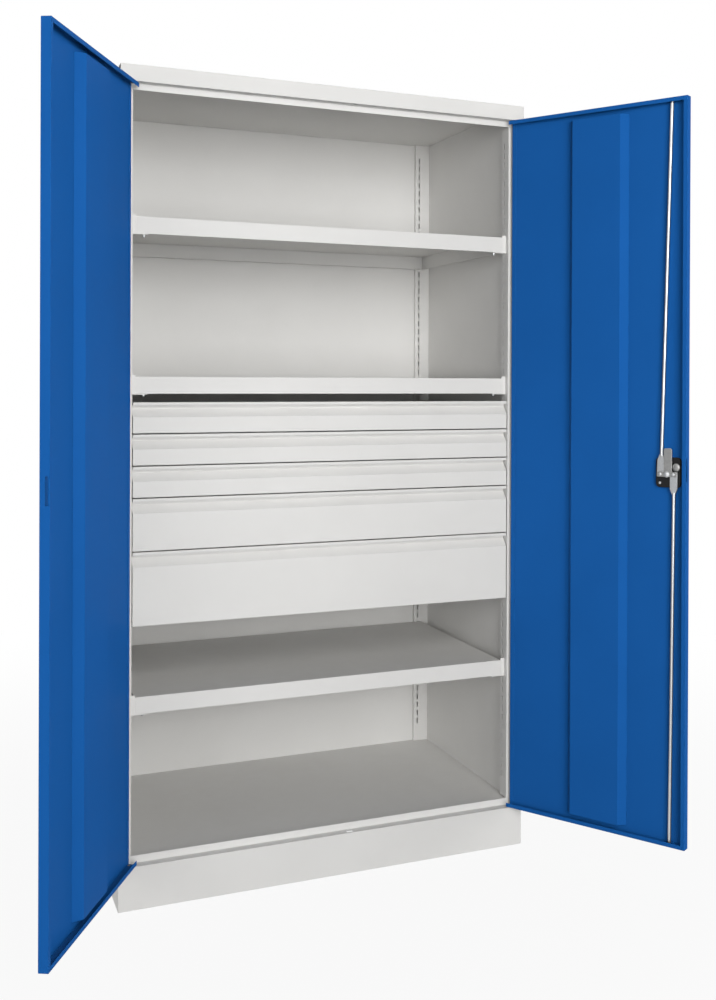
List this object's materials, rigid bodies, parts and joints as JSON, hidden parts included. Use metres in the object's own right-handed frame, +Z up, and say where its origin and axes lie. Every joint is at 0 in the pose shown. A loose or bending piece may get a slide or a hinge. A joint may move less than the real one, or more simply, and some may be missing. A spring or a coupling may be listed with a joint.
{
  "type": "wing-door storage cabinet with drawers",
  "caption": "Floor-standing sheet-steel cabinet: hinged wing doors, shelves in slotted uprights, telescopic drawers with finger grips, and a rod lock.",
  "frame": {"origin": "middle of the cabinet's footprint, on the floor", "axes": "+X to the right of someone facing the cabinet, +Y to its back, +Z up; the doors face -Y"},
  "size_m": [1.4865, 1.0387, 1.95],
  "materials": {
    "grey_paint": "fine smooth powder coat",
    "blue_paint": "fine smooth powder coat",
    "zinc_steel": "zinc plated",
    "black_plastic": "fine-grained moulding"
  },
  "bodies": {
    "carcass": {"plinth": "grey_paint", "side_left": "grey_paint", "side_right": "grey_paint", "back_panel": "grey_paint", "top_panel": "grey_paint", "top_stop": "grey_paint", "bottom_panel": "grey_paint", "upright_front_left": "grey_paint", "upright_front_right": "grey_paint", "upright_rear_left": "grey_paint", "upright_rear_right": "grey_paint", "hinge_pin_top_left": "zinc_steel", "hinge_pin_top_right": "zinc_steel", "hinge_pin_bottom_left": "zinc_steel", "hinge_pin_bottom_right": "zinc_steel", "shelf_1": "grey_paint", "shelf_2": "grey_paint", "shelf_3": "grey_paint", "shelf_clips_1": "zinc_steel", "shelf_clips_2": "zinc_steel", "shelf_clips_3": "zinc_steel", "slides_fixed_left": "zinc_steel", "slides_fixed_right": "zinc_steel"},
    "left_door": {"left_leaf": "blue_paint", "left_stiffener": "blue_paint"},
    "right_door": {"right_leaf": "blue_paint", "right_stiffener": "blue_paint", "lock_case": "black_plastic", "lock_plate": "black_plastic"},
    "lock": {"lock_cam": "zinc_steel", "lock_handle": "black_plastic"},
    "key_cylinder": {"key_core": "zinc_steel"},
    "top_rod": {"rod_top": "zinc_steel"},
    "bottom_rod": {"rod_bottom": "zinc_steel"},
    "drawer_1": {"drawer_front_1": "grey_paint", "drawer_tray_1": "grey_paint", "slide_inner_1": "zinc_steel"},
    "runner_1": {"slide_middle_1": "zinc_steel"},
    "drawer_2": {"drawer_front_2": "grey_paint", "drawer_tray_2": "grey_paint", "slide_inner_2": "zinc_steel"},
    "runner_2": {"slide_middle_2": "zinc_steel"},
    "drawer_3": {"drawer_front_3": "grey_paint", "drawer_tray_3": "grey_paint", "slide_inner_3": "zinc_steel"},
    "runner_3": {"slide_middle_3": "zinc_steel"},
    "drawer_4": {"drawer_front_4": "grey_paint", "drawer_tray_4": "grey_paint", "slide_inner_4": "zinc_steel"},
    "runner_4": {"slide_middle_4": "zinc_steel"},
    "drawer_5": {"drawer_front_5": "grey_paint", "drawer_tray_5": "grey_paint", "slide_inner_5": "zinc_steel"},
    "runner_5": {"slide_middle_5": "zinc_steel"}
  },
  "joints": [
    {"name": "left_door_hinge", "type": "hinge", "parent": "carcass", "child": "left_door", "pos_m": [-0.4955, -0.295, 1], "axis": [0, 0, -1], "range_deg": [-118, 7]},
    {"name": "right_door_hinge", "type": "hinge", "parent": "carcass", "child": "right_door", "pos_m": [0.4955, -0.295, 1], "axis": [0, 0, 1], "range_deg": [-121, 4]},
    {"name": "handle_turn", "type": "hinge", "parent": "right_door", "child": "lock", "pos_m": [0.72743, -0.67129, 1], "axis": [0.8572, 0.515, 0], "range_deg": [0, 90]},
    {"name": "key_turn", "type": "hinge", "parent": "lock", "child": "key_cylinder", "pos_m": [0.72743, -0.67129, 1], "axis": [0.8572, 0.515, 0], "range_deg": [0, 90]},
    {"name": "top_rod_pivot", "type": "hinge", "parent": "lock", "child": "top_rod", "pos_m": [0.71868, -0.65672, 1], "axis": [0.8572, 0.515, 0], "range_deg": [-92, 0]},
    {"name": "bottom_rod_pivot", "type": "hinge", "parent": "lock", "child": "bottom_rod", "pos_m": [0.73619, -0.68586, 1], "axis": [0.8572, 0.515, 0], "range_deg": [-92, 0]},
    {"name": "drawer_1_slide", "type": "slide", "parent": "carcass", "child": "drawer_1", "axis": [0, -1, 0], "range_m": [0, 0.45]},
    {"name": "runner_1_slide", "type": "slide", "parent": "carcass", "child": "runner_1", "axis": [0, -1, 0], "range_m": [0, 0.225]},
    {"name": "drawer_2_slide", "type": "slide", "parent": "carcass", "child": "drawer_2", "axis": [0, -1, 0], "range_m": [0, 0.45]},
    {"name": "runner_2_slide", "type": "slide", "parent": "carcass", "child": "runner_2", "axis": [0, -1, 0], "range_m": [0, 0.225]},
    {"name": "drawer_3_slide", "type": "slide", "parent": "carcass", "child": "drawer_3", "axis": [0, -1, 0], "range_m": [0, 0.45]},
    {"name": "runner_3_slide", "type": "slide", "parent": "carcass", "child": "runner_3", "axis": [0, -1, 0], "range_m": [0, 0.225]},
    {"name": "drawer_4_slide", "type": "slide", "parent": "carcass", "child": "drawer_4", "axis": [0, -1, 0], "range_m": [0, 0.45]},
    {"name": "runner_4_slide", "type": "slide", "parent": "carcass", "child": "runner_4", "axis": [0, -1, 0], "range_m": [0, 0.225]},
    {"name": "drawer_5_slide", "type": "slide", "parent": "carcass", "child": "drawer_5", "axis": [0, -1, 0], "range_m": [0, 0.45]},
    {"name": "runner_5_slide", "type": "slide", "parent": "carcass", "child": "runner_5", "axis": [0, -1, 0], "range_m": [0, 0.225]}
  ],
  "couplings": [
    {"joint": "top_rod_pivot", "follows": "handle_turn", "ratio": -1.0118},
    {"joint": "bottom_rod_pivot", "follows": "handle_turn", "ratio": -1.0122},
    {"joint": "runner_1_slide", "follows": "drawer_1_slide", "ratio": 0.5},
    {"joint": "runner_2_slide", "follows": "drawer_2_slide", "ratio": 0.5},
    {"joint": "runner_3_slide", "follows": "drawer_3_slide", "ratio": 0.5},
    {"joint": "runner_4_slide", "follows": "drawer_4_slide", "ratio": 0.5},
    {"joint": "runner_5_slide", "follows": "drawer_5_slide", "ratio": 0.5}
  ]
}
